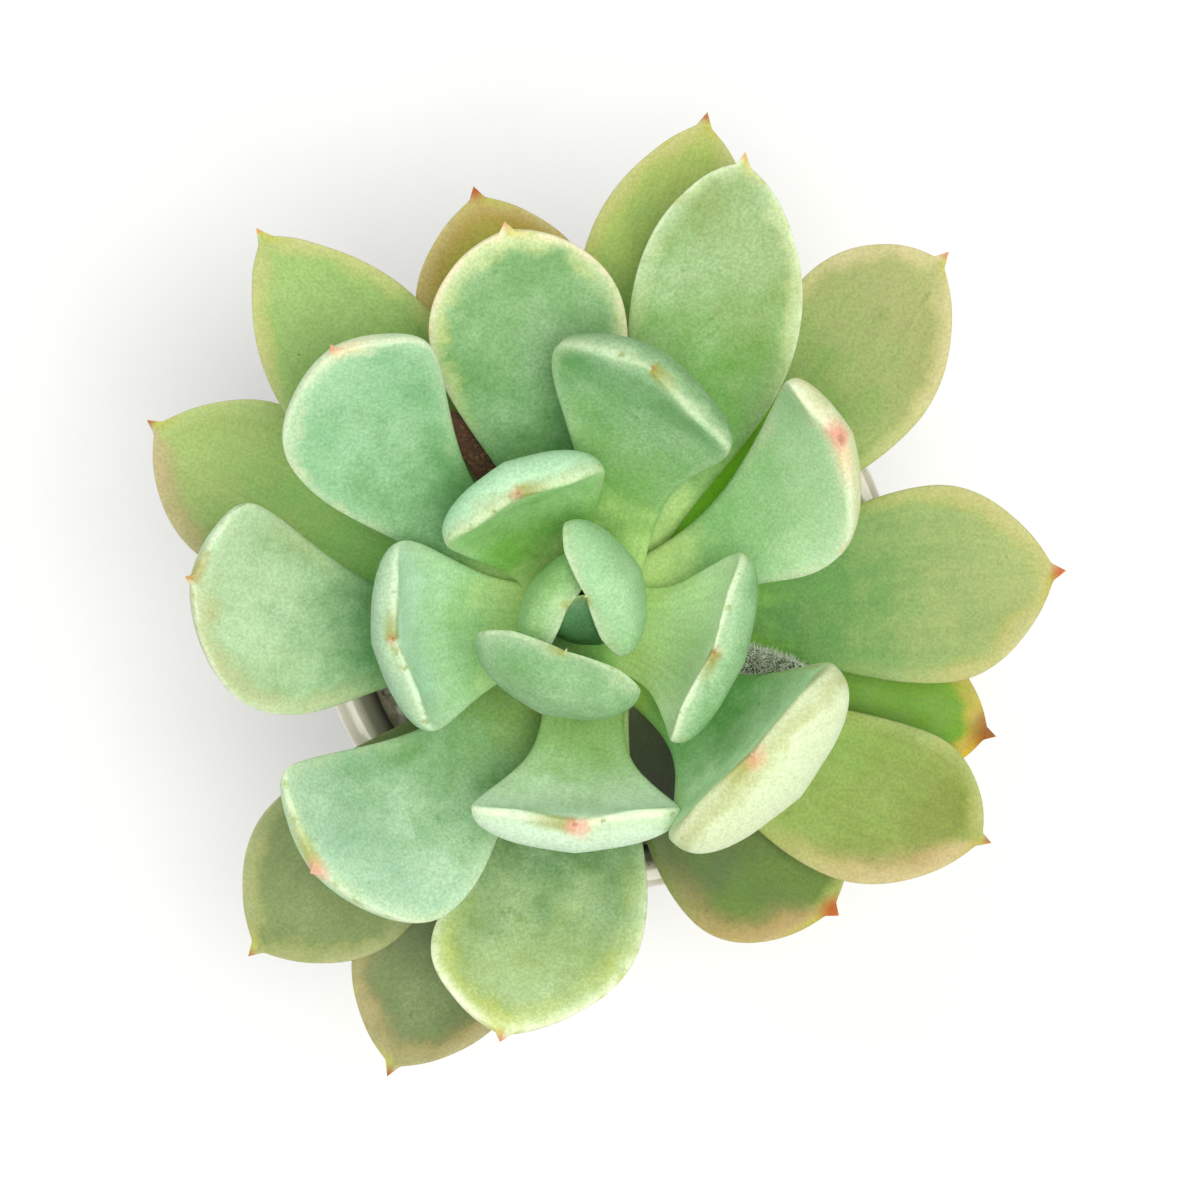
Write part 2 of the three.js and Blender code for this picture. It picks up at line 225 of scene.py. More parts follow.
# The skin of a leaf. It reads where it is from attributes that buildLeaf stores.
def buildLeafSkin():
    names = {key: key[0].upper() + key[1:] for key in leafLookUsual}
    inputs = {names[key]: value for key, value in leafLookUsual.items()}
    inputs["Seed"] = 0.0
    tree, given, result = newGroup("leafSkin", inputs, {"Color": "#93c09a", "Shine": 0.0, "Height": 0.0})
    setup = skinSetup
    powder = useGroup(tree, farina)
    along, across, upper = (attribute(tree, name) for name in ("along", "across", "upper"))
    marginGap, tipGap = (attribute(tree, name) for name in ("marginGap", "tipGap"))
    place = objectPlace(tree)
    wobble = calc(tree, "SUBTRACT", noise(tree, place, setup["wobble"], 4, 0.6), 0.5)
    drift = noise(tree, place, setup["drift"], 2)

    # green flesh, yellower towards the stem, with colours of its own towards the end and on the underside
    reach = risen(tree, along, 0.5, wobble)
    neck = step(tree, reach, times(tree, given["NeckReach"], 0.35), given["NeckReach"])
    blade = mixed(tree, step(tree, reach, 0.4, 0.9), given["Flesh"], given["End"])
    blade = mixed(tree, step(tree, upper, 0.15, -0.25), blade, given["Under"])
    color = mixed(tree, neck, given["Neck"], blade)

    # faint veins along the leaf
    lanes = put(tree, "ShaderNodeCombineXYZ", {
        0: times(tree, along, setup["veinsAlong"]), 1: times(tree, across, setup["veinsAcross"]),
        2: given["Seed"]})
    streak = noise(tree, lanes.outputs[0], 1.0, 3, 0.6)
    shaded = times(tree, given["StreakAmount"], step(tree, streak, 0.35, 0.65))
    color = mixed(tree, shaded, color, given["Band"], "MULTIPLY")

    # the olive band inside the margin, then the blush over it
    bandEdge = risen(tree, marginGap, 7.0, wobble)
    band = step(tree, bandEdge, given["BandWidth"], times(tree, given["BandWidth"], 0.25))
    band = times(tree, band, step(tree, along, 0.4, 0.75))
    band = times(tree, band, step(tree, drift, 0.3, 0.55))
    color = mixed(tree, times(tree, band, given["BandAmount"]), color, given["Band"])
    sided = times(tree, across, given["BlushSide"])
    bothSides = calc(tree, "SUBTRACT", 1.0, calc(tree, "ABSOLUTE", given["BlushSide"]))
    sided = step(tree, calc(tree, "ADD", sided, bothSides), 0.0, 0.5)
    blushEdge = risen(tree, marginGap, 5.0, wobble)
    blush = times(tree, sided, step(tree, blushEdge, given["BlushWidth"], 0.0))
    blush = times(tree, blush, step(tree, along, 0.5, 0.85))
    color = mixed(tree, times(tree, blush, given["BlushAmount"]), color, given["Blush"])

    # powder: thick on the blade and along the margin, thin on the neck and where it is scuffed; the pale
    # band just inside the margin is partly thicker powder and partly a painted rim highlight
    cover = times(tree, powder["Cover"], step(tree, reach, 0.1, 0.8, 0.25, 1.0))
    cover = times(tree, cover, risen(tree, 0.6, 0.9, powder["Grain"]))
    scuff = times(tree, powder["Scuff"], given["ScuffAmount"])
    cover = times(tree, cover, calc(tree, "SUBTRACT", 1.0, scuff))
    color = mixed(tree, times(tree, cover, given["PowderAmount"]), color, given["Powder"])
    color = mixed(tree, times(tree, scuff, 0.35), color, given["Band"], "MULTIPLY")
    # painted highlight: this pale band, about 3 mm wide inside the margin and mixed towards the powder
    # colour, paints the bright rims that light gives the leaf edges; only part of it is thicker powder
    rimPowderAndHighlight = step(tree, risen(tree, marginGap, 4.0, wobble), 3.0, 0.0)
    rimPowderAndHighlight = times(tree, rimPowderAndHighlight, step(tree, along, 0.35, 0.7, 0.0, 0.8))
    color = mixed(tree, times(tree, rimPowderAndHighlight, given["PowderAmount"]), color, given["Powder"])

    # the pale margin line, broken by olive dots: partly the margin's own pale colour and partly a painted
    # highlight along the ridge
    patchy = noise(tree, place, setup["patch"], 3, 0.6)
    rim = risen(tree, marginGap, 1.2, wobble)
    margin = step(tree, rim, times(tree, given["MarginWidth"], 1.6), 0.0)
    margin = times(tree, margin, step(tree, along, 0.4, 0.75))
    margin = times(tree, margin, step(tree, patchy, 0.35, 0.55, 0.3, 1.0))
    color = mixed(tree, times(tree, margin, given["MarginAmount"]), color, given["Margin"])
    dots = times(tree, step(tree, marginGap, 1.0, 0.2), step(tree, patchy, 0.42, 0.3))
    dots = times(tree, dots, step(tree, along, 0.5, 0.8))
    color = mixed(tree, times(tree, dots, 0.6), color, given["Band"])

    # the coloured point, an olive smear beside it, and a few specks
    near = risen(tree, risen(tree, tipGap, 1.5, patchy), 2.5, wobble)
    halo = step(tree, near, times(tree, given["TipSize"], 6.5), given["TipSize"])
    halo = times(tree, halo, step(tree, marginGap, 1.8, 0.5))
    halo = times(tree, halo, step(tree, across, 0.15, -0.05, 0.15, 0.85))
    color = mixed(tree, halo, color, given["Band"])
    tip = step(tree, near, times(tree, given["TipSize"], 2.4), times(tree, given["TipSize"], 0.9))
    color = mixed(tree, times(tree, tip, 0.9), color, given["Tip"])
    dirt = useGroup(tree, specks, {"Scale": setup["specks"], "Size": 0.03, "Share": 0.3})["Speck"]
    color = mixed(tree, times(tree, dirt, given["SpeckAmount"]), color, given["Speck"])

    # fine grain over everything
    grain = step(tree, powder["Grain"], 0.3, 0.7, 0.9, 1.08)
    gray = put(tree, "ShaderNodeCombineXYZ", {0: grain, 1: grain, 2: grain})
    color = mixed(tree, 1.0, color, gray.outputs[0], "MULTIPLY")
    deep = put(tree, "ShaderNodeGamma", {"Color": color, "Gamma": setup["depthOfColour"]})
    vivid = put(tree, "ShaderNodeHueSaturation", {
        "Saturation": setup["vividness"], "Value": setup["brightness"], "Color": deep.outputs[0]})
    tree.links.new(vivid.outputs[0], result["Color"])
    shine = step(tree, cover, 0.0, 0.8, setup["bareRoughness"], setup["powderRoughness"])
    tree.links.new(shine, result["Shine"])
    height = risen(tree, times(tree, wobble, 0.6), 0.5, powder["Grain"])
    tree.links.new(height, result["Height"])
    return tree


leafSkin = buildLeafSkin()


def newMaterial(name, fixed=None):
    material = bpy.data.materials.new(name)
    material.use_nodes = True
    tree = material.node_tree
    shader = tree.nodes["Principled BSDF"]
    for socket, value in (fixed or {}).items():
        shader.inputs[socket].default_value = value
    return material, tree, shader


# Gives a shader its colour, roughness and bumps. The relief is in mm.
def finishWith(tree, shader, color, roughness, height, relief):
    tree.links.new(color, shader.inputs["Base Color"])
    tree.links.new(roughness, shader.inputs["Roughness"])
    bump = put(tree, "ShaderNodeBump", {"Strength": 1.0, "Distance": relief * mm, "Height": height})
    tree.links.new(bump.outputs["Normal"], shader.inputs["Normal"])


# How light sinks into a leaf, set on the shader itself.
leafFlesh = {"Subsurface Weight": 0.12, "Subsurface Radius": (0.8, 1.0, 0.35), "Subsurface Scale": 0.0022,
             "Specular IOR Level": 0.4}


def leafMaterial(name, look, seed):
    material, tree, shader = newMaterial(name, leafFlesh)
    inputs = {key[0].upper() + key[1:]: value for key, value in look.items()}
    skin = useGroup(tree, leafSkin, {**inputs, "Seed": seed})
    finishWith(tree, shader, skin["Color"], skin["Shine"], skin["Height"], skinSetup["relief"])
    return material


# A new object with a mesh of its own. An attribute holds one value for each point.
def addMesh(name, points, faces, attributes=None, smoothShaded=True):
    mesh = bpy.data.meshes.new(name)
    mesh.from_pydata(points.tolist(), [], faces)
    for label, values in (attributes or {}).items():
        mesh.attributes.new(label, "FLOAT", "POINT").data.foreach_set("value", values.astype(np.float32))
    if smoothShaded:
        mesh.polygons.foreach_set("use_smooth", [True] * len(mesh.polygons))
    mesh.update()
    piece = bpy.data.objects.new(name, mesh)
    bpy.context.scene.collection.objects.link(piece)
    return piece


# Lets a piece move with the object, and lets it stand for CAD nodes.
def standFor(piece, material, slot, *nodes):
    if material:
        piece.data.materials.append(material)
    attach(piece, "root")
    if nodes:
        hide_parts(*nodes)


# Faces of a tube of rings that lie one after another, count points in each.
def ringFaces(rings, count, closed=False):
    faces = []
    for r in range(rings if closed else rings - 1):
        low, high = r * count, (r + 1) % rings * count
        for i in range(count):
            j = (i + 1) % count
            faces.append((low + i, low + j, high + j, high + i))
    return faces


def ease(t):
    t = np.clip(t, 0, 1)
    return t * t * (3 - 2 * t)


# Applies a Geometry Nodes tree and keeps its result as a plain mesh.
def applyTree(carrier, tree, settings, name):
    modifier = carrier.modifiers.new("nodes", "NODES")
    modifier.node_group = tree
    for item in tree.interface.items_tree:
        if item.item_type == "SOCKET" and item.in_out == "INPUT" and item.name in settings:
            modifier[item.identifier] = settings[item.name]
    carrier.update_tag()
    evaluated = carrier.evaluated_get(bpy.context.evaluated_depsgraph_get())
    mesh = bpy.data.meshes.new_from_object(evaluated)
    mesh.name = name
    carrier.modifiers.remove(modifier)
    piece = bpy.data.objects.new(name, mesh)
    bpy.context.scene.collection.objects.link(piece)
    return piece


# What most leaves share. Lengths in mm, angles in degrees: "root" is how far from the stem's axis they
# start, "neck" the width at the stem as a share of the greatest, "belly" where along the leaf it is widest,
# "flare" how late it widens, "blunt" how full the end is, "cup" how far the margins stand up, "curl" how
# late it turns upward, "roll" how far the blade turns about its own length, "sway" how far it bends
# sideways in plan, "skew" how far its width is turned from square, "shift" a step sideways of its foot,
# "plump" how full it is across (1 is an ellipse, less is fuller), "thinning" how much thinner it is towards
# the end, "endFull" how late the end closes, "point" how wide the foot of the small point is, as a share of
# the width, "ripple" how uneven the skin is.
leafUsual = {
    "root": 4, "neck": 0.38, "belly": 0.72, "flare": 1.5, "blunt": 0.72, "thick": 6, "cup": 1.5,
    "curl": 1.6, "roll": 0, "sway": 0, "skew": 0, "shift": (0, 0), "plump": 0.85, "thinning": 0.35,
    "endFull": 3.5, "point": 0.42, "ripple": 0.16,
}
fat = {"plump": 0.74, "thinning": 0.05, "endFull": 3.4, "point": 0.12}
heart = {**fat, "neck": 0.6, "thick": 5, "cup": 2, "root": 3}
inner = {**fat, "neck": 0.46}
spoon = {"flare": 2.2, "belly": 0.8, "blunt": 0.6, "plump": 0.78, "thinning": 0.15, "endFull": 3.2,
         "point": 0.34}
outer = {"blunt": 0.8}
lower = {"thick": 4.5, "blunt": 0.8}

# bearing in plan from +X towards +Y, height at the stem, length, width, slope at the stem and at the tip,
# and what is not as usual
leafShapes = {
    "heart_leaf_1": (-78, 97, 20, 13, 76, 138,
                     {**heart, "thick": 4, "cup": 1, "root": 1.5, "shift": (0.2, 2.4)}),
    "heart_leaf_2": (150, 95, 22, 16, 66, 128, {**heart, "thick": 4.5, "cup": 1.5}),
    "heart_leaf_3": (30, 95, 26, 19.5, 68, 138, {**heart, "roll": -10, "shift": (-1.8, 2.6)}),
    "heart_leaf_4": (-114, 94, 30.5, 23, 50, 144,
                     {**heart, "thick": 6, "root": 3.5, "roll": 6, "shift": (-0.5, 2.0)}),
    "inner_leaf_1": (119, 93, 33, 23.5, 32, 108, {**inner, "roll": -5}),
    "inner_leaf_2": (185, 92, 36.3, 26, 18, 100, {**inner, "roll": 6, "thick": 5}),
    "inner_leaf_3": (-13, 92, 31.4, 27, 34, 114, {**inner, "roll": -10, "thick": 5}),
    "inner_leaf_4": (-94, 92, 36.5, 28, 14, 100,
                     {**fat, "neck": 0.4, "flare": 3.2, "roll": 4, "belly": 0.84, "thick": 5.6}),
    "inner_leaf_5": (76, 91, 46, 27, 28, 78, {**fat, "neck": 0.4, "flare": 3, "roll": -22, "belly": 0.8}),
    "middle_leaf_1": (-39, 89, 49.5, 32, 18, 124, {
        **fat, "neck": 0.34, "flare": 3, "belly": 0.74, "roll": -5, "thick": 9, "endFull": 2.3}),
    "middle_leaf_2": (151, 88, 56.5, 25, 22, 50, {**spoon, "flare": 2.6, "sway": -42, "skew": 14}),
    "middle_leaf_3": (23.8, 88, 51, 27, 18, 75,
                      {**spoon, "flare": 2.6, "sway": 32, "roll": -14, "skew": -38}),
    "middle_leaf_4": (238, 86, 53, 30, 10, 50,
                      {**spoon, "flare": 2.4, "sway": -34, "skew": 18, "shift": (-1.2, 0.6)}),
    "middle_leaf_5": (102, 85, 56.3, 27, 22, 30, {"blunt": 0.55, "neck": 0.34}),
    "middle_leaf_6": (61, 84, 67.5, 24, 20, 22,
                      {"belly": 0.66, "blunt": 0.66, "sway": 23, "skew": -10, "neck": 0.34}),
    "middle_leaf_7": (192, 84, 58, 29, 10, 45,
                      {**spoon, "flare": 3, "neck": 0.34, "belly": 0.78, "sway": -42, "skew": 24}),
    "middle_leaf_8": (-95, 83, 59, 29, 5, 38, {"sway": -18, "skew": 14, "shift": (1.0, 0)}),
    "outer_leaf_1": (135, 81, 69, 25, 10, 12, {**outer, "belly": 0.62, "sway": -10}),
    "outer_leaf_2": (105, 80, 60, 25, 10, 12, outer),
    "outer_leaf_3": (77, 80, 70, 25, 10, 12, {**outer, "belly": 0.66}),
    "outer_leaf_4": (43, 80, 69, 26, 8, 8, {"sway": 6, "skew": -10}),
    "outer_leaf_5": (6, 80, 64, 28, 6, 8, outer),
    "outer_leaf_6": (-41, 79, 62, 25, 5, 12, {"sway": 26, "skew": -14}),
    "outer_leaf_7": (-16, 77, 57, 22, 0, 0, outer),
    "outer_leaf_8": (-60, 77, 52, 29, 0, 5, {"sway": 22}),
    "outer_leaf_9": (224.5, 77, 65, 26.5, 0, 5, {**outer, "neck": 0.34}),
    "outer_leaf_10": (-114, 76, 68, 25, 0, 5, outer),
    "outer_leaf_11": (165, 77, 66, 25, 5, 5, {**outer, "sway": -20}),
    "lower_leaf_1": (131, 84, 46, 19, 10, 14, lower),
    "lower_leaf_2": (47, 83, 40, 18, 8, 10, {**lower, "sway": 6}),
    "lower_leaf_3": (-74, 82, 28, 17, 0, 6, lower),
    "lower_leaf_4": (-118, 80, 44, 19, 0, 6, lower),
}
dryLeafShape = (124, 87, 34, 4, 14, 22,
                {"neck": 0.7, "thick": 1.8, "cup": 0.3, "blunt": 0.8, "ripple": 0.3})
stubShape = (-14, 90, 29, 3.6, 2, 6,
             {"neck": 0.9, "belly": 0.6, "thick": 3.4, "cup": 0, "blunt": 0.5, "ripple": 0.2})
leafMesh = {
    "rings": 92,  # cuts across the blade
    "pointRings": 8,  # cuts across the small point at its end
    "around": 64,
    "crowding": 1.7,  # how much closer the cuts lie towards the end
    "bladeEnd": 0.972,  # as shares of the leaf's length
    "pointStart": 0.86,
    "pointFade": 0.1,
    "roundness": 2.5,  # how softly the blade runs into the point
    "upperShare": 0.3,  # of the thickness above the margins
    "keel": 0.1,  # how much thicker the underside's midline is
    "keelWidth": 0.2,  # as a share of the leaf's width
    "frameRuns": 80,  # straight runs that the frame's leaves are stepped in
}

stemLow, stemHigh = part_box("stem")
crown = (stemLow + stemHigh) / 2


# The larger of two sizes, with a soft passage from one to the other.
def blended(first, second):
    power = leafMesh["roundness"]
    return (first ** power + second ** power) ** (1 / power)


# Half widths and thicknesses in mm at shares s of the leaf's length.
def sections(leaf, s):
    end, start = leafMesh["bladeEnd"], leafMesh["pointStart"]
    past = np.clip((s - leaf["belly"]) / (end - leaf["belly"]), 0, 1)
    widening = leaf["neck"] + (1 - leaf["neck"]) * ease(s / leaf["belly"]) ** leaf["flare"]
    blade = widening * (1 - past ** 2.1) ** leaf["blunt"]
    fading = np.clip((1 - s) / (1 - start), 0, 1) * ease((s - start) / leafMesh["pointFade"])
    point = leaf["point"] * fading
    half = leaf["width"] / 2 * blended(blade, point)
    body = (0.78 + 0.22 * ease(s / 0.3)) * (1 - leaf["thinning"] * ease((s - 0.6) / 0.4))
    body = body * np.sqrt(1 - past ** leaf["endFull"])
    depth = np.minimum(leaf["thick"] * body, 1.5 * half)
    return half, blended(depth, leaf["width"] / 2 * point)


# The leaf's middle line at shares s of its length: places and the directions of its width and upper face.
def leafSpine(leaf, s):
    fine = np.linspace(0, 1, 1201)

    def directions(t):
        rise = np.radians(leaf["low"] + (leaf["high"] - leaf["low"]) * t ** leaf["curl"])
        heading = np.radians(leaf["facing"] + leaf["sway"] * t)
        flat = np.stack([np.cos(heading), np.sin(heading), 0 * t], 1)
        along = flat * np.cos(rise)[:, None] + np.array([0, 0, 1]) * np.sin(rise)[:, None]
        level = np.stack([-np.sin(heading), np.cos(heading), 0 * t], 1)
        return along, level

    tangents, _ = directions(fine)
    steps = np.cumsum((tangents[1:] + tangents[:-1]) / 2, 0)
    run = np.concatenate([np.zeros((1, 3)), steps]) / (len(fine) - 1)
    along, level = directions(s)
    bearing = math.radians(leaf["facing"])
    foot = np.array([math.cos(bearing) * leaf["root"] + leaf["shift"][0],
                     math.sin(bearing) * leaf["root"] + leaf["shift"][1], leaf["start"]])
    reached = np.stack([np.interp(s, fine, run[:, k]) for k in range(3)], 1)
    reached -= (along - tangents[0]) / (2 * leafMesh["frameRuns"])  # the frame's runs lag by half a run
    up = np.cross(along, level)
    roll = np.radians(leaf["roll"] * s)[:, None]
    side = level * np.cos(roll) + up * np.sin(roll)
    up = np.cross(along, side)
    skew = np.radians(leaf["skew"] * ease(s / leaf["belly"]))[:, None]
    side = side * np.cos(skew) - along * np.sin(skew)
    return foot + leaf["length"] * reached, side, up


def readLeaf(shape):
    facing, start, length, width, low, high, unusual = shape
    own = {"facing": facing, "start": start, "length": length, "width": width, "low": low, "high": high}
    return {**leafUsual, **own, **unusual}


# Low waves over the skin, so that no two leaves are quite alike.
def ripples(rng, s, angle):
    total = np.zeros((len(s), len(angle)))
    for size in (1.0, 0.8, 0.6, 0.4, 0.3, 0.2):
        turns = rng.integers(0, 4)
        waves, phase = rng.uniform(0.6, 2.2) / size, rng.uniform(0, 2 * math.pi, 2)
        lengthwise = np.sin(2 * math.pi * waves * s[:, None] + phase[0])
        total += size * lengthwise * np.cos(turns * angle + phase[1])
    return total / 2


# How far each point of a leaf is from its margin, in mm.
def gapToMargin(points, rings, count, tipIndex):
    edges = [points[side:rings * count:count] for side in (0, count // 2)]
    rim = np.concatenate([edges[0], points[tipIndex:tipIndex + 1], edges[1][::-1]])
    fine = np.linspace(0, len(rim) - 1, 6 * len(rim))
    rim = np.stack([np.interp(fine, range(len(rim)), rim[:, k]) for k in range(3)], 1)
    tree = KDTree(len(rim))
    for k, spot in enumerate(rim):
        tree.insert(spot, k)
    tree.balance()
    return np.array([tree.find(spot)[2] for spot in points])


def buildLeaf(name, leaf, seed):
    rng = np.random.default_rng(seed)
    count, bladeEnd = leafMesh["around"], leafMesh["bladeEnd"]
    blade = bladeEnd * (1 - (1 - np.linspace(0, 1, leafMesh["rings"])) ** leafMesh["crowding"])
    point = np.linspace(bladeEnd, 1, leafMesh["pointRings"] + 2)[1:-1]
    s = np.concatenate([blade, point])
    angle = np.linspace(0, 2 * math.pi, count, endpoint=False)
    at, side, up = leafSpine(leaf, s)
    half, depth = sections(leaf, s)
    cup = leaf["cup"] * ease(s / 0.5) * np.minimum(1, half / (leaf["width"] / 3))
    fullness = lambda values: np.sign(values) * np.abs(values) ** leaf["plump"]
    across, face = fullness(np.cos(angle)), fullness(np.sin(angle))
    keel = 1 + leafMesh["keel"] * np.exp(-(across / leafMesh["keelWidth"]) ** 2)
    above = leafMesh["upperShare"]
    lift = np.where(face > 0, above * face, (1 - above) * face * keel)
    uneven = 1 + leaf["ripple"] / leaf["thick"] * ripples(rng, s, angle)
    sideways = half[:, None] * across
    upwards = depth[:, None] * lift * uneven + cup[:, None] * across ** 2
    upwards += 0.5 * leaf["ripple"] * ripples(rng, s, angle)[:, :1] * ease(s / 0.4)[:, None]
    points = at[:, None] + side[:, None] * sideways[..., None] + up[:, None] * upwards[..., None]
    tip, _, _ = leafSpine(leaf, np.array([1.0]))
    points = np.concatenate([points.reshape(-1, 3), tip, at[:1]]) + np.array([crown.x, crown.y, 0]) / mm
    tipIndex, footIndex = len(points) - 2, len(points) - 1
    faces = ringFaces(len(s), count)
    last = (len(s) - 1) * count
    for i in range(count):
        j = (i + 1) % count
        faces.append((last + i, last + j, tipIndex))
        faces.append((j, i, footIndex))

    full = lambda ringValues, tipValue, footValue: np.concatenate(
        [np.broadcast_to(ringValues, (len(s), count)).ravel(), [tipValue, footValue]])
    attributes = {
        "along": full(s[:, None], 1, 0),
        "across": full(across, 0, 0),
        "upper": full(face, 0, 0),
        "marginGap": gapToMargin(points, len(s), count, tipIndex),
        "tipGap": np.linalg.norm(points - points[tipIndex], axis=1),
    }
    return addMesh(name, points * mm, faces, attributes)


def camel(node):
    first, *rest = node.split("_")
    return first + "".join(word.capitalize() for word in rest)


# What each ring shares, and then what each leaf has of its own.
ringLooks = {
    "heart": {"Neck": "#b4d894", "Flesh": "#90bc78", "End": "#a0ca8c", "bandAmount": 0.3, "bandWidth": 1.6,
              "tipSize": 0.5, "marginAmount": 0.35},
    "inner": {"Neck": "#cce2a0", "Band": "#93943c", "bandAmount": 0.3, "bandWidth": 1.8,
              "marginAmount": 0.3},
    "middle": {"Neck": "#bcd890", "Band": "#b6b860"},
    "outer": {"Neck": "#7ca43c", "Flesh": "#74a04c", "End": "#94aa5c", "Under": "#8ea868",
              "Powder": "#c4d09c", "Band": "#b4b458", "Margin": "#c8c49a", "Tip": "#a8603c",
              "powderAmount": 0.35, "blushAmount": 0.4, "marginAmount": 0.4, "speckAmount": 0.7,
              "streakAmount": 0.15},
    "lower": {"Neck": "#5c8428", "Flesh": "#5c8428", "End": "#6c8a34", "Under": "#5c7c30",
              "Powder": "#a8b88c", "powderAmount": 0.15, "marginAmount": 0.2},
}
leafLooks = {
    # painted shade: heart_leaf_1 lies deep among the leaves round it, and its dark underside colour and
    # thin powder paint that shade
    "heart_leaf_1": {"Under": "#3c7440", "marginAmount": 0.1, "powderAmount": 0.2},
    "heart_leaf_2": {"Under": "#82b062"},
    "heart_leaf_3": {"Under": "#98c48e"},
    "heart_leaf_4": {"Under": "#70a062", "Tip": "#8f9a4c", "tipSize": 0.8},
    "inner_leaf_1": {"Flesh": "#7eb254", "End": "#a6dc8a", "Under": "#acd6b0", "Tip": "#c4a484",
                     "bandAmount": 0.6},
    "inner_leaf_2": {"Neck": "#d2e8a6", "Flesh": "#aad498", "End": "#ccf0d8", "Under": "#8eb08e"},
    "inner_leaf_3": {"Neck": "#cce4a0", "Flesh": "#d2f0b8", "End": "#e8fad4", "Under": "#76a86c"},
    "inner_leaf_4": {"Neck": "#88a860", "Flesh": "#98bc78", "End": "#dcf2d8", "Under": "#c8dcc4",
                     "Tip": "#e0aa98", "tipSize": 1.5, "marginAmount": 0.7},
    "inner_leaf_5": {"Neck": "#bcd890", "Flesh": "#84b064", "End": "#66a05a", "Under": "#5c8e4a",
                     "Tip": "#d08c74"},
    "middle_leaf_1": {"Neck": "#90ae50", "Flesh": "#70b260", "End": "#d4f2c4", "Under": "#d8e2bc",
                      "Tip": "#dfae94", "tipSize": 1.6, "bandAmount": 0.9, "Band": "#a6a850",
                      "Blush": "#dcc29c", "blushAmount": 0.35, "blushWidth": 3, "marginAmount": 0.2},
    "middle_leaf_2": {"Flesh": "#589452", "End": "#8cbe90", "Tip": "#d89c86", "Band": "#e0d0a8",
                      "bandWidth": 2.2},
    "middle_leaf_3": {"Neck": "#c4dc98", "Flesh": "#90c07e", "End": "#b2d6a2", "Under": "#c4c690",
                      "Band": "#e2cca6", "bandWidth": 2.6, "Tip": "#d99f8c", "tipSize": 1.8},
    "middle_leaf_4": {"Neck": "#789838", "Flesh": "#62964e", "End": "#9cc0a2", "powderAmount": 0.65,
                      "Tip": "#dcae98", "tipSize": 1.8, "bandWidth": 2.4, "Band": "#a8ac56"},
    "middle_leaf_5": {"Flesh": "#4c8c40", "End": "#6e9e58", "Margin": "#f4dcc4", "Tip": "#d49c84",
                      "Band": "#c6c670", "bandAmount": 0.8, "marginWidth": 0.9},
    "middle_leaf_6": {"Flesh": "#6ca444", "End": "#88a058", "Tip": "#d0a46c", "Band": "#c0ba66",
                      "bandWidth": 3},
    "middle_leaf_7": {"Flesh": "#4c8c46", "End": "#acc698", "Band": "#aaa05a", "bandAmount": 0.8,
                      "bandWidth": 4, "Tip": "#d59468"},
    "middle_leaf_8": {"Flesh": "#427430", "End": "#98ac66", "Band": "#bcc25c", "bandAmount": 0.85,
                      "bandWidth": 5, "marginWidth": 1.1, "marginAmount": 0.9},
    "outer_leaf_1": {"Flesh": "#7ca44e", "End": "#92b468", "Tip": "#d08450", "Band": "#bcba50"},
    "outer_leaf_2": {"Flesh": "#949c30", "End": "#aaa428", "Blush": "#b4824c", "blushAmount": 0.75,
                     "blushWidth": 6, "Tip": "#a84828", "tipSize": 1.6},
    "outer_leaf_3": {"Flesh": "#78a64a", "End": "#a4b65c", "Tip": "#a8603a", "Band": "#b4b04a"},
    "outer_leaf_4": {"Neck": "#6f9c24", "neckReach": 0.75, "End": "#9ca262", "Blush": "#cbb08c",
                     "blushAmount": 0.8, "blushWidth": 3.5, "Tip": "#c48c70"},
    "outer_leaf_5": {"Neck": "#8cc050", "Flesh": "#549240", "End": "#9caa68", "Band": "#b0aa50",
                     "bandAmount": 0.7, "Tip": "#b85c38", "tipSize": 1.5},
    "outer_leaf_6": {"Flesh": "#84a848", "End": "#7e8e24", "Blush": "#c8a27c", "blushAmount": 0.9,
                     "blushSide": -1, "blushWidth": 6, "Band": "#a8a43e"},
    "outer_leaf_7": {"Neck": "#5a8c08", "Flesh": "#64960c", "End": "#70a008", "Band": "#d4b628",
                     "bandAmount": 0.85, "bandWidth": 4, "powderAmount": 0.1, "Tip": "#8c4c1e",
                     "tipSize": 2.6},
    "outer_leaf_8": {"Neck": "#2c400a", "Flesh": "#3c560c", "End": "#567808", "Blush": "#b28c5c",
                     "blushAmount": 0.9, "blushSide": -1, "blushWidth": 6, "Tip": "#b45c24",
                     "tipSize": 2, "powderAmount": 0.2},
    "outer_leaf_9": {"Flesh": "#6c7e44", "End": "#748648", "Blush": "#9a8c60", "Powder": "#a8b48c",
                     "powderAmount": 0.5},
    "outer_leaf_10": {"Flesh": "#4c5c28", "End": "#627638", "Blush": "#a87c54", "blushAmount": 0.7,
                      "blushWidth": 5, "Tip": "#9a4c2c", "Powder": "#a8b48c", "powderAmount": 0.5},
    "outer_leaf_11": {"Flesh": "#80b85c", "End": "#9ab066", "Blush": "#b08474", "blushAmount": 0.8,
                      "blushSide": 1, "blushWidth": 5, "Tip": "#a85438"},
    "lower_leaf_1": {"Flesh": "#7a8a50"},
    # painted light: lower_leaf_2 lies in a shaded gap, and its vivid bright green with no powder paints the
    # light that glows through the leaves round it
    "lower_leaf_2": {"Neck": "#7cc018", "Flesh": "#8ad01e", "End": "#7cb81c", "powderAmount": 0.0},
    # painted shade: lower_leaf_3 lies under the leaves above it; its colours, dark and darker towards its
    # end, paint that shade
    "lower_leaf_3": {"Neck": "#66743e", "Flesh": "#3e4a24", "End": "#1c2412", "Band": "#242c18"},
    # painted shade: lower_leaf_4 lies under the leaves above it; its near-black colours paint that shade
    "lower_leaf_4": {"Neck": "#2a3420", "Flesh": "#2c3822", "End": "#343e28"},
}


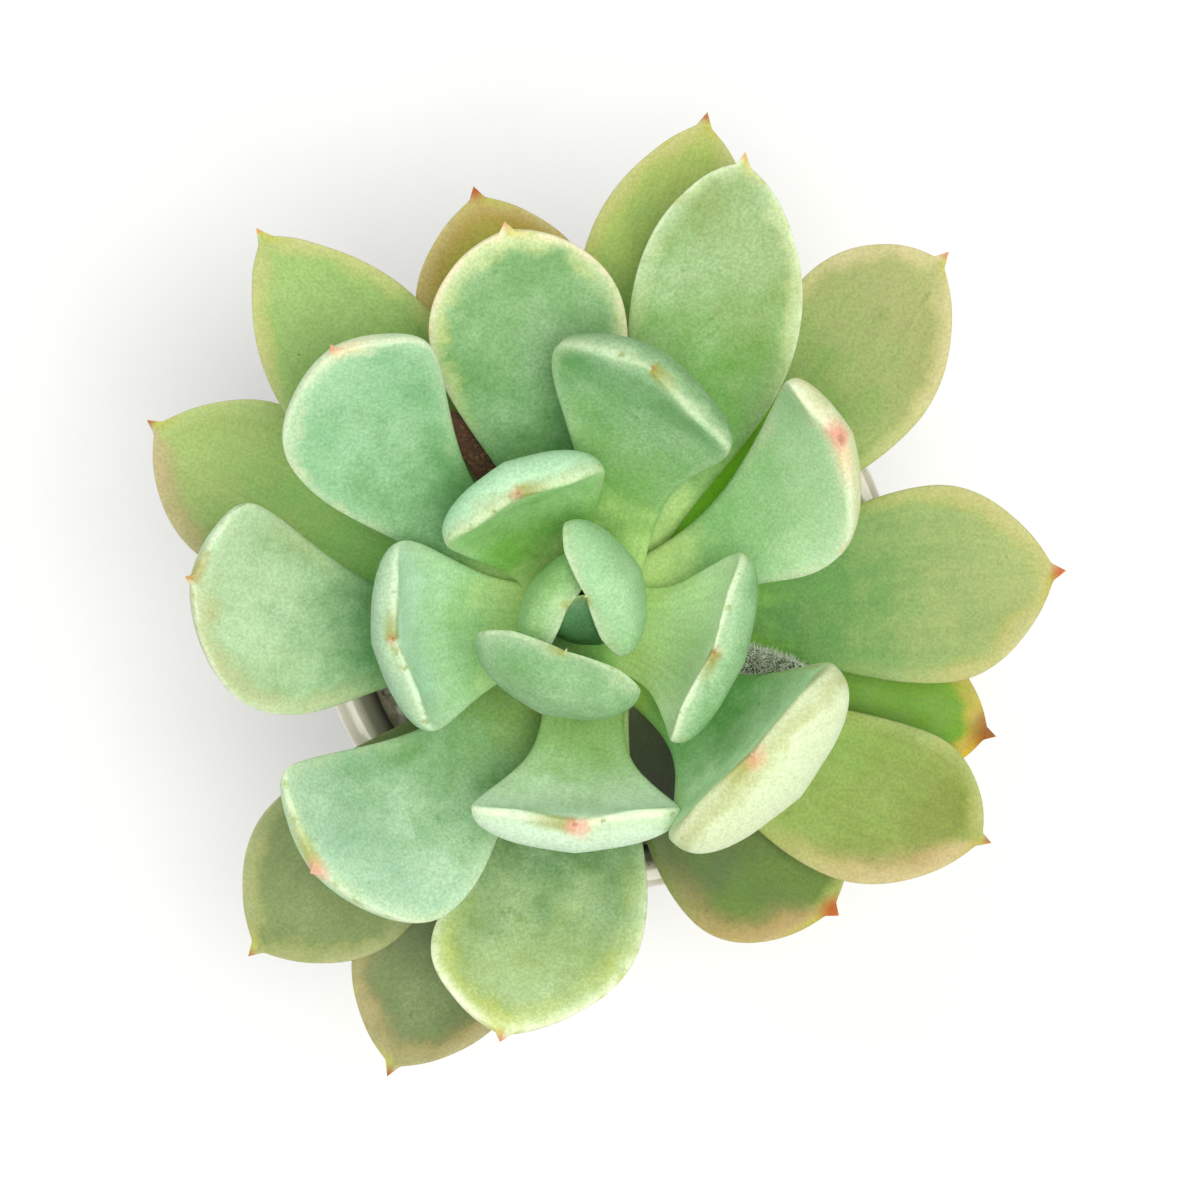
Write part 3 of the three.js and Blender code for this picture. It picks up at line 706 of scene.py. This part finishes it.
def dressLeaves():
    widest = 0
    for number, (node, shape) in enumerate(leafShapes.items()):
        ring = node.split("_")[0]
        look = {**leafLookUsual, **ringLooks[ring], **leafLooks.get(node, {})}
        piece = buildLeaf(camel(node), readLeaf(shape), 100 + number)
        standFor(piece, leafMaterial(camel(node) + "Skin", look, 3.7 * number), ring + "_leaf", node)
        low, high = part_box(node)
        span = np.array([v.co for v in piece.data.vertices])
        widest = max(widest, np.abs(span.max(0) - np.array(high)).max())
    print("leaves made:", len(leafShapes), "- furthest past its CAD box, mm:", round(widest / mm, 2))


dressLeaves()

# Mottled finishes: a dark, a middle and a light colour, the scale of the blotches, the roughness and the
# height of the relief in mm.
mottledLooks = {
    "deadLeaf": ("#2e1c12", "#5b3a24", "#8a6a48", 260, 0.8, 0.4),
    "felt": ("#343c2c", "#626e54", "#98a488", 420, 0.9, 0.3),
    "feltHairs": ("#b4c0a6", "#dde4d2", "#f6f8f0", 600, 0.9, 0.1),
    "corkyStem": ("#5b4a30", "#8b8a5c", "#b5a77c", 330, 0.78, 0.4),
    "gritBed": ("#8e8470", "#c9c0ac", "#e6e0d2", 700, 0.92, 0.6),
    "pottingSoil": ("#20160f", "#4a3828", "#b8ad98", 420, 0.95, 1.0),
}


def mottledMaterial(name):
    dark, middle, light, scale, roughness, relief = mottledLooks[name]
    material, tree, shader = newMaterial(name)
    patches = useGroup(tree, blotches, {"Dark": dark, "Middle": middle, "Light": light, "Scale": scale})
    rough = step(tree, patches["Height"], 0.3, 0.7, roughness - 0.12, roughness + 0.08)
    finishWith(tree, shader, patches["Color"], rough, patches["Height"], relief)
    return material


# The short hairs that stand on the dry stub: how many to a square metre, and lengths in mm.
fuzzSetup = {"density": 2.2e7, "length": 1.15, "thickness": 0.085, "lean": 0.9, "seed": 5}


# A Geometry Nodes tree that takes a surface and some sizes, a seed and a material.
def newTree(name, *sizes):
    tree = bpy.data.node_groups.new(name, "GeometryNodeTree")
    kinds = {"Surface": "Geometry", **dict.fromkeys(sizes, "Float"), "Seed": "Int", "Material": "Material"}
    for label, kind in kinds.items():
        tree.interface.new_socket(label, in_out="INPUT", socket_type="NodeSocket" + kind)
    tree.interface.new_socket("Pieces", in_out="OUTPUT", socket_type="NodeSocketGeometry")
    return tree, put(tree, "NodeGroupInput").outputs


def endTree(tree, strewn, material):
    real = put(tree, "GeometryNodeRealizeInstances", {"Geometry": strewn})
    dressed = put(tree, "GeometryNodeSetMaterial", {"Geometry": real.outputs[0], "Material": material})
    put(tree, "NodeGroupOutput", {"Pieces": dressed.outputs[0]})
    return tree


def fuzzTree():
    tree, given = newTree("fuzz", "Density", "Length", "Thickness", "Lean")
    spread = put(tree, "GeometryNodeDistributePointsOnFaces", {
        "Mesh": given["Surface"], "Density": given["Density"], "Seed": given["Seed"]})
    hair = put(tree, "GeometryNodeMeshCone", {
        "Vertices": 3, "Radius Bottom": given["Thickness"], "Radius Top": 0.0, "Depth": given["Length"]})
    bend = put(tree, "FunctionNodeRandomValue", {
        0: (-1, -1, -1), 1: (1, 1, 1), "Seed": given["Seed"]}, data_type="FLOAT_VECTOR")
    facing = put(tree, "ShaderNodeVectorMath", {
        0: scaled(tree, bend.outputs[0], given["Lean"]), 1: spread.outputs["Normal"]})
    turned = put(tree, "FunctionNodeAlignRotationToVector", {"Vector": facing.outputs[0]}, axis="Z")
    size = put(tree, "FunctionNodeRandomValue", {2: 0.5, 3: 1.2, "Seed": given["Seed"]}, data_type="FLOAT")
    strewn = put(tree, "GeometryNodeInstanceOnPoints", {
        "Points": spread.outputs["Points"], "Instance": hair.outputs["Mesh"],
        "Rotation": turned.outputs[0], "Scale": size.outputs[1]})
    return endTree(tree, strewn.outputs[0], given["Material"])


def dressDryPieces():
    dead = buildLeaf("dryLeaf", readLeaf(dryLeafShape), 41)
    standFor(dead, mottledMaterial("deadLeaf"), "dry_leaf", "dry_leaf")
    stub = buildLeaf("dryStub", readLeaf(stubShape), 42)
    standFor(stub, mottledMaterial("felt"), "dry_stub", "dry_stub")
    hairs = mottledMaterial("feltHairs")
    setup = fuzzSetup
    fuzz = applyTree(stub, fuzzTree(), {
        "Density": setup["density"], "Length": setup["length"] * mm, "Thickness": setup["thickness"] * mm,
        "Lean": setup["lean"], "Seed": setup["seed"], "Material": hairs}, "stubFuzz")
    standFor(fuzz, None, "dry_stub")
    print("dry pieces made:", len(fuzz.data.polygons), "faces of fuzz")


dressDryPieces()

# The stem, with scars where old leaves have dropped. Lengths in mm.
stemSetup = {
    "low": 6.5,  # radius at the gravel
    "high": 4.5,  # radius at the shoulder
    "shoulder": 88,  # height above which it narrows fast
    "narrowing": 4,  # over this height it loses a quarter of its width
    "top": 0.6,  # radius at its top
    "around": 96,
    "rings": 130,
    "scars": 26,
    "scarRise": 1.7,  # from each to the next
    "scarWide": 2.3, "scarTall": 0.95, "scarHeight": 0.45, "scarSunk": 0.3,
    "firstScar": -2,  # from the top of the gravel
    "proudest": 0.6,  # the most that a scar may stand out
    "goldenAngle": 137.5,
}


def dressStem():
    setup = stemSetup
    bottom, top = stemLow.z / mm, stemHigh.z / mm
    z = np.linspace(bottom, top, setup["rings"])
    angle = np.linspace(0, 2 * math.pi, setup["around"], endpoint=False)
    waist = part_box("gravel")[1].z / mm
    shoulder = setup["shoulder"]
    radius = np.interp(z, [bottom, waist, shoulder, shoulder + setup["narrowing"], top],
                       [setup["low"], setup["low"], setup["high"], setup["high"] * 0.75, setup["top"]])
    surface = np.repeat(radius[:, None], setup["around"], 1)
    for k in range(setup["scars"]):
        height = waist + setup["firstScar"] + k * setup["scarRise"]
        turn = np.radians(k * setup["goldenAngle"])
        sideways = (np.angle(np.exp(1j * (angle - turn))))[None] * radius[:, None] / setup["scarWide"]
        upwards = (z - height)[:, None] / setup["scarTall"]
        ring = np.hypot(sideways, upwards)
        surface += setup["scarHeight"] * np.exp(-((ring - 1) / 0.3) ** 2)
        surface -= setup["scarSunk"] * np.exp(-(ring / 0.7) ** 2)
    surface = np.minimum(surface, radius[:, None] + setup["proudest"])
    points = np.stack([crown.x / mm + surface * np.cos(angle), crown.y / mm + surface * np.sin(angle),
                       np.repeat(z[:, None], setup["around"], 1)], 2).reshape(-1, 3)
    rings, count = setup["rings"], setup["around"]
    faces = ringFaces(rings, count)
    faces.append(tuple(reversed(range(count))))
    faces.append(tuple((rings - 1) * count + i for i in range(count)))
    stem = addMesh("stem", points * mm, faces)
    standFor(stem, mottledMaterial("corkyStem"), "stem", "stem")
    print("stem made")


dressStem()

# The pot, thrown on a wheel, with a drain hole and a foot ring. Lengths in mm.
potSetup = {
    "wall": 4, "floor": 5,
    "lift": 2.5,  # of the floor's underside above the table
    "drain": 6,  # radius of the hole
    "foot": 31,  # radius of the wall at the bottom
    "ringInner": 24, "ringOuter": 29.5,
    "rimBand": 5,  # height of the slightly wider band at the rim
    "rimShoulder": 2.6,  # below the rim, where the band is fullest
    "around": 144,
    "run": 1.1,  # length of one face up the wall
    "turningMarks": 0.05,  # height of the faint rings left by the wheel
    "turningPitches": (3.1, 4.7),
    "glazeLine": 2.4,  # the glaze stops this high above the table
}
glazeColours = {"pale": "#dcd6c8", "palest": "#e8e3d8", "worn": "#d9cbb4", "spots": "#8f7656",
                "smallSpots": "#8d7a62"}
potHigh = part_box("pot")[1]


# A run of [radius, height, rounding] corners as a smooth line of close points. The line closes on itself.
def roundedLine(corners, run):
    line = []
    total = len(corners)
    spots = np.array([c[:2] for c in corners], float)
    for k in range(total):
        before, here, after = spots[k - 1], spots[k], spots[(k + 1) % total]
        cut = corners[k][2]
        start = here + (before - here) / np.linalg.norm(before - here) * cut
        end = here + (after - here) / np.linalg.norm(after - here) * cut
        for t in np.linspace(0, 1, 7 if cut else 1):
            line.append((1 - t) ** 2 * start + 2 * t * (1 - t) * here + t ** 2 * end)
    dense = []
    for first, second in zip(line, line[1:] + line[:1]):
        pieces = max(1, int(np.linalg.norm(second - first) / run))
        dense += [first + (second - first) * i / pieces for i in range(pieces)]
    return np.array(dense)


def glazeMaterial():
    material, tree, shader = newMaterial("whiteGlaze", {"Coat Roughness": 0.06, "Coat IOR": 1.5})
    glazed = attribute(tree, "glazed")
    place = objectPlace(tree)
    line = risen(tree, glazed, 0.8, calc(tree, "SUBTRACT", noise(tree, place, 140, 3), 0.5))
    cover = step(tree, line, 0.42, 0.58)
    clay = useGroup(tree, blotches, {"Dark": "#b08f6c", "Middle": "#c8a985", "Light": "#e0cbb0",
                                     "Scale": 260.0})
    pooled = noise(tree, place, 45, 3)
    shades = glazeColours
    white = mixed(tree, step(tree, pooled, 0.35, 0.65), shades["pale"], shades["palest"])
    thin = attribute(tree, "edgeWear")
    white = mixed(tree, times(tree, thin, 0.55), white, shades["worn"])
    spots = useGroup(tree, specks, {"Scale": 330.0, "Size": 0.12, "Share": 0.2})["Speck"]
    small = useGroup(tree, specks, {"Scale": 900.0, "Size": 0.12, "Share": 0.12})["Speck"]
    white = mixed(tree, times(tree, spots, 0.65), white, shades["spots"])
    white = mixed(tree, times(tree, small, 0.35), white, shades["smallSpots"])
    color = mixed(tree, cover, clay["Color"], white)
    rough = step(tree, cover, 0.0, 1.0, 0.85, 0.24)
    rough = risen(tree, rough, 0.12, calc(tree, "SUBTRACT", pooled, 0.5))
    tree.links.new(times(tree, cover, 0.5), shader.inputs["Coat Weight"])
    orangePeel = noise(tree, place, 700, 2)
    height = risen(tree, times(tree, cover, 0.6), 0.12, orangePeel)
    bare = calc(tree, "SUBTRACT", 1.0, cover)
    height = risen(tree, height, times(tree, bare, 0.5), clay["Height"])
    finishWith(tree, shader, color, rough, height, 0.3)
    return material


def dressPot():
    setup = potSetup
    rim, tall = potHigh.x / mm, potHigh.z / mm
    inside = lambda z: setup["foot"] + (rim - setup["foot"]) * z / tall - setup["wall"]
    bed, shoulder = setup["lift"] + setup["floor"], tall - setup["rimShoulder"]
    # radius, height and how far each corner is rounded
    corners = [
        (setup["drain"], setup["lift"], 0.6), (setup["ringInner"] - 1, setup["lift"], 0.6),
        (setup["ringInner"], 0, 0.4), (setup["ringOuter"], 0, 0.5), (setup["foot"] - 0.2, 1.4, 0.8),
        (rim - 0.95, tall - setup["rimBand"], 1.4), (rim, shoulder, 1.1), (rim - 0.1, tall, 1.4),
        (inside(tall) + 0.2, tall, 1.3), (inside(tall) - 0.5, tall - 4.5, 1.5),
        (inside(bed), bed, 2.4), (setup["drain"], bed, 0.6),
    ]
    line = roundedLine(corners, setup["run"])
    radius, z = line[:, 0], line[:, 1]
    outside = radius > inside(z) + setup["wall"] * 0.55
    fine, coarse = (z * 2 * math.pi / pitch for pitch in setup["turningPitches"])
    wheel = np.sin(fine) + 0.6 * np.sin(coarse + 1)
    onWall = ease((z - 5) / 4) * ease((tall - 6 - z) / 3)
    radius = radius + setup["turningMarks"] * wheel * onWall * np.where(outside, 1, 0.6)
    angle = np.linspace(0, 2 * math.pi, setup["around"], endpoint=False)
    points = np.stack([radius[:, None] * np.cos(angle), radius[:, None] * np.sin(angle),
                       np.repeat(z[:, None], setup["around"], 1)], 2).reshape(-1, 3)
    glazed = np.where(outside, ease((z - setup["glazeLine"]) / 1.2 + 0.5), 1.0)
    glazed = np.where(z < bed - 1, np.where(outside, glazed, 0.0), glazed)
    worn = np.exp(-((z - tall) / 0.5) ** 2) + np.exp(-((z - shoulder) / 0.45) ** 2) * outside
    each = lambda values: np.repeat(values, setup["around"])
    faces = ringFaces(len(line), setup["around"], closed=True)
    pot = addMesh("pot", points * mm, [tuple(reversed(f)) for f in faces],
                  {"glazed": each(glazed), "edgeWear": each(np.clip(worn, 0, 1))})
    standFor(pot, glazeMaterial(), "pot", "pot")
    print("pot made:", len(faces), "faces")


dressPot()

# The gravel over the soil. Lengths in mm.
gravelSetup = {
    "stone": 1.45,  # usual radius of a pebble
    "shapes": 6,  # how many kinds of pebble there are
    "rough": 0.55,
    "stemGap": 8.0,  # clear of pebbles, from the stem's axis
    "wallGap": 0.4,
    "bedDrop": 1.7,  # how far the grit under the pebbles lies below the gravel's top
    "bedDepth": 3,
    "seed": 11,
    # how far apart the pebbles of each layer lie, and how far above the grit their middles are
    "layers": {"pebbles": (1.7, 0.55), "topPebbles": (4.2, 1.5)},
}


def pebbleTree(shapes):
    tree, given = newTree("strewnPebbles", "Radius", "Spacing", "Roughness")
    spread = put(tree, "GeometryNodeDistributePointsOnFaces", {
        "Mesh": given["Surface"], "Distance Min": given["Spacing"], "Density Max": 1.0e6,
        "Seed": given["Seed"]}, distribute_method="POISSON")
    stones = put(tree, "GeometryNodeJoinGeometry")
    for k in range(shapes):
        ball = put(tree, "GeometryNodeMeshIcoSphere", {"Radius": 1.0, "Subdivisions": 2})
        spot = put(tree, "GeometryNodeInputPosition")
        away = put(tree, "ShaderNodeVectorMath", {0: spot.outputs[0], 1: (7.0 * k, 3.0 * k, 5.0 * k)})
        lumps = put(tree, "ShaderNodeTexNoise", {"Vector": away.outputs[0], "Scale": 0.85, "Detail": 1.5})
        centred = put(tree, "ShaderNodeVectorMath", {0: lumps.outputs["Color"], 1: (0.5, 0.5, 0.5)},
                      operation="SUBTRACT")
        push = scaled(tree, scaled(tree, centred.outputs[0], given["Roughness"]), 2.5)
        shaped = put(tree, "GeometryNodeSetPosition", {"Geometry": ball.outputs["Mesh"], "Offset": push})
        rounded = put(tree, "GeometryNodeSetShadeSmooth", {"Geometry": shaped.outputs[0]})
        single = put(tree, "GeometryNodeGeometryToInstance", {0: rounded.outputs[0]})
        tree.links.new(single.outputs[0], stones.inputs[0])
    pick = put(tree, "FunctionNodeRandomValue", {
        4: 0, 5: shapes - 1, "Seed": given["Seed"]}, data_type="INT")
    turn = put(tree, "FunctionNodeRandomValue", {
        0: (0, 0, 0), 1: (6.28, 6.28, 6.28), "Seed": given["Seed"]}, data_type="FLOAT_VECTOR")
    stretch = put(tree, "FunctionNodeRandomValue", {
        0: (0.65, 0.65, 0.5), 1: (1.3, 1.1, 0.85), "Seed": given["Seed"]}, data_type="FLOAT_VECTOR")
    size = scaled(tree, stretch.outputs[0], given["Radius"])
    strewn = put(tree, "GeometryNodeInstanceOnPoints", {
        "Points": spread.outputs["Points"], "Instance": stones.outputs[0], "Pick Instance": True,
        "Instance Index": pick.outputs[2], "Rotation": turn.outputs[0], "Scale": size})
    luck = put(tree, "FunctionNodeRandomValue", {2: 0.0, 3: 1.0, "Seed": 3}, data_type="FLOAT")
    toned = put(tree, "GeometryNodeStoreNamedAttribute", {
        "Geometry": strewn.outputs[0], "Name": "pebbleTone", "Value": luck.outputs[1]},
        data_type="FLOAT", domain="INSTANCE")
    return endTree(tree, toned.outputs[0], given["Material"])


# Colours of single pebbles, and the share of them at which each colour starts.
pebbleColours = {0.0: "#efece4", 0.38: "#e4ddcd", 0.62: "#d5cab4", 0.8: "#c9c6c0", 0.93: "#b59a7c"}


def pebbleMaterial():
    material, tree, shader = newMaterial("pumicePebbles", {"Specular IOR Level": 0.3})
    tone = attribute(tree, "pebbleTone")
    usual = put(tree, "ShaderNodeValToRGB", {"Fac": tone})
    bands = usual.color_ramp
    bands.interpolation = "CONSTANT"
    for place, code in pebbleColours.items():
        stop = bands.elements[0] if place == 0.0 else bands.elements.new(place)
        stop.color = tint(code)
    bands.elements.remove(bands.elements[-1])
    patches = useGroup(tree, blotches, {"Dark": "#c9c3b6", "Middle": "#f4f1ea", "Light": "#ffffff",
                                        "Scale": 900.0})
    color = mixed(tree, 0.75, usual.outputs["Color"], patches["Color"], "MULTIPLY")
    rough = step(tree, patches["Height"], 0.3, 0.7, 0.7, 0.95)
    finishWith(tree, shader, color, rough, patches["Height"], 0.4)
    return material


# A lumpy disc that fills the pot between two heights.
def discBed(name, radius, bottom, top, lump, seed):
    rng = np.random.default_rng(seed)
    rings, count = 26, 72
    shares = np.linspace(1, 0.04, rings)
    angle = np.linspace(0, 2 * math.pi, count, endpoint=False)
    bumps = lump * rng.uniform(-1, 1, (rings, count))
    bumps[0] = 0
    flat = np.stack([radius * shares[:, None] * np.cos(angle), radius * shares[:, None] * np.sin(angle),
                     top + bumps], 2).reshape(-1, 3)
    floorRing = np.stack([(radius - 0.6) * np.cos(angle), (radius - 0.6) * np.sin(angle),
                          np.full(count, bottom)], 1)
    points = np.concatenate([floorRing, flat, [(0, 0, top)]])
    faces = ringFaces(rings + 1, count)
    last, middle = rings * count, len(points) - 1
    faces += [(last + i, last + (i + 1) % count, middle) for i in range(count)]
    faces.append(tuple(reversed(range(count))))
    return addMesh(name, points * mm, faces)


def dressGravel():
    setup = gravelSetup
    low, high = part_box("gravel")
    radius, top = high.x / mm, high.z / mm
    bedTop = top - setup["bedDrop"]
    bed = discBed("gravelBed", radius - setup["wallGap"], low.z / mm, bedTop, 0.25, 6)
    standFor(bed, mottledMaterial("gritBed"), "gravel", "gravel")
    stones = pebbleMaterial()
    for number, (name, (spacing, lift)) in enumerate(setup["layers"].items()):
        bottom = top - setup["bedDepth"]
        ground = discBed("strewnOn", radius - setup["stone"] * 1.5, bottom, bedTop + lift, 0.3, 8)
        trimToRing(ground, setup["stemGap"], bottom + 0.5)
        layer = applyTree(ground, pebbleTree(setup["shapes"]), {
            "Radius": setup["stone"] * mm, "Spacing": spacing * mm, "Roughness": setup["rough"],
            "Seed": setup["seed"] + number, "Material": stones}, name)
        bpy.data.objects.remove(ground)
        standFor(layer, None, "gravel")
        print(name, "made:", len(layer.data.polygons), "faces")


# Keeps a bed's upper faces that are clear of the stem.
def trimToRing(bed, stemGap, lowest):
    mesh = bed.data
    kept = []
    for face in mesh.polygons:
        middle = face.center
        clear = math.hypot(middle.x - crown.x, middle.y - crown.y) > stemGap * mm
        if clear and middle.z > lowest * mm and face.normal.z > 0.3:
            kept.append(tuple(face.vertices))
    points = [tuple(v.co) for v in mesh.vertices]
    mesh.clear_geometry()
    mesh.from_pydata(points, [], kept)
    mesh.update()


def dressSoil():
    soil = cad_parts["soil"]
    soil.data.materials.clear()
    soil.data.materials.append(mottledMaterial("pottingSoil"))
    print("soil dressed")


dressGravel()
dressSoil()

# The floor and the light. Places and widths in metres.
studio = {
    "sky": 0.68,  # even light from all round
    "skyColour": "#fbfcff",
    "floorColours": ("#f0f0ee", "#ececea"),
    "floorWidth": 6.0,
    # where each hangs, its width, watts and colour
    "lamps": {
        "overhead": ((0.18, -0.12, 1.1), 0.7, 8.2, "#fffdf8"),
        "side": ((-0.9, 0.7, 0.9), 0.6, 2.5, "#f4f8ff"),
    },
}


def dressStudio():
    half = studio["floorWidth"] / 2
    corners = np.array([(-half, -half, 0), (half, -half, 0), (half, half, 0), (-half, half, 0)], float)
    floor = addMesh("floor", corners, [(0, 1, 2, 3)])
    material, tree, shader = newMaterial("paleFloor", {"Roughness": 0.9, "Specular IOR Level": 0.1})
    faint = noise(tree, objectPlace(tree), 3, 2)
    color = mixed(tree, step(tree, faint, 0.3, 0.7), *studio["floorColours"])
    tree.links.new(color, shader.inputs["Base Color"])
    floor.data.materials.append(material)
    world = bpy.data.worlds.new("studio")
    world.use_nodes = True
    sky = world.node_tree.nodes["Background"]
    sky.inputs["Color"].default_value = tint(studio["skyColour"])
    sky.inputs["Strength"].default_value = studio["sky"]
    bpy.context.scene.world = world
    for name, (place, width, watts, code) in studio["lamps"].items():
        data = bpy.data.lights.new(name, "AREA")
        data.shape, data.size, data.energy = "DISK", width, watts
        data.color = tint(code)[:3]
        lamp = bpy.data.objects.new(name, data)
        lamp.location = place
        toCrown = crown - lamp.location
        lamp.rotation_euler = toCrown.to_track_quat("-Z", "Y").to_euler()
        bpy.context.scene.collection.objects.link(lamp)
    bpy.context.scene.view_settings.view_transform = "Standard"
    print("studio set")


dressStudio()
